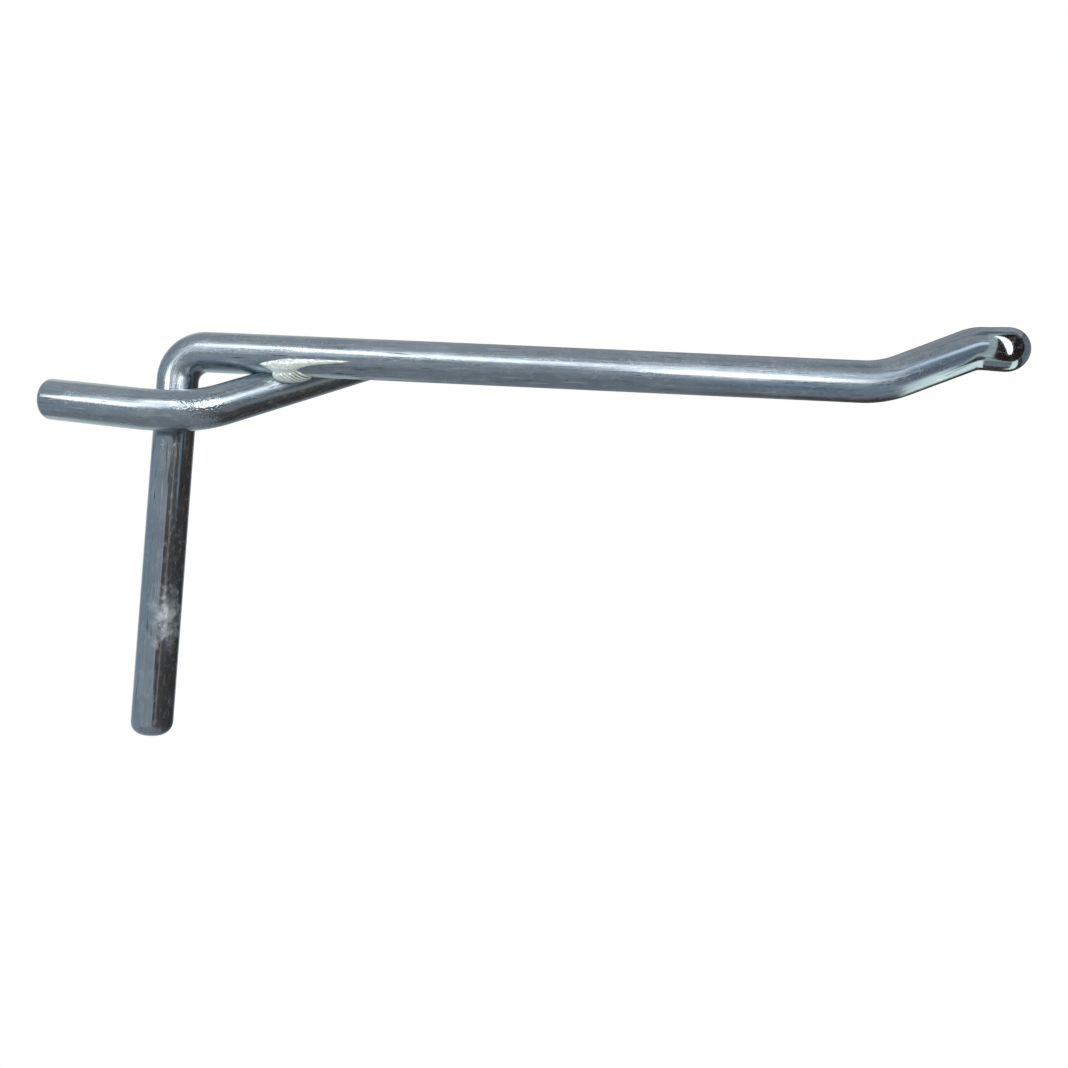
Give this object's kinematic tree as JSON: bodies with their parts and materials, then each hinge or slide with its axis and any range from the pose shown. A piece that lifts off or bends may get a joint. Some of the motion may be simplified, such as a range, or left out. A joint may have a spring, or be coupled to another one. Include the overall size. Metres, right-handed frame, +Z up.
{
  "type": "pegboard hook",
  "caption": "Pegboard hook of bent plated wire: a straight arm with a raised ball tip, a leg that rests on the board and a welded side peg that plugs into a hole.",
  "frame": {"origin": "the point of the peg's axis that lies in the plane of the board's front face, which the back of the leg touches", "axes": "+X out of the board along the arm, +Z up, +Y to the side of the hook away from the peg"},
  "size_m": [0.1408, 0.0237, 0.0657],
  "materials": {
    "arm_zinc": "bright zinc plating over drawn wire, with fine draw lines",
    "peg_zinc": "bright zinc plating over drawn wire, mottled at the bend",
    "weld_metal": "plated weld metal, pale and rippled"
  },
  "bodies": {
    "root": {"arm_wire": "arm_zinc", "peg_wire": "peg_zinc", "weld_bead": "weld_metal"}
  },
  "joints": []
}
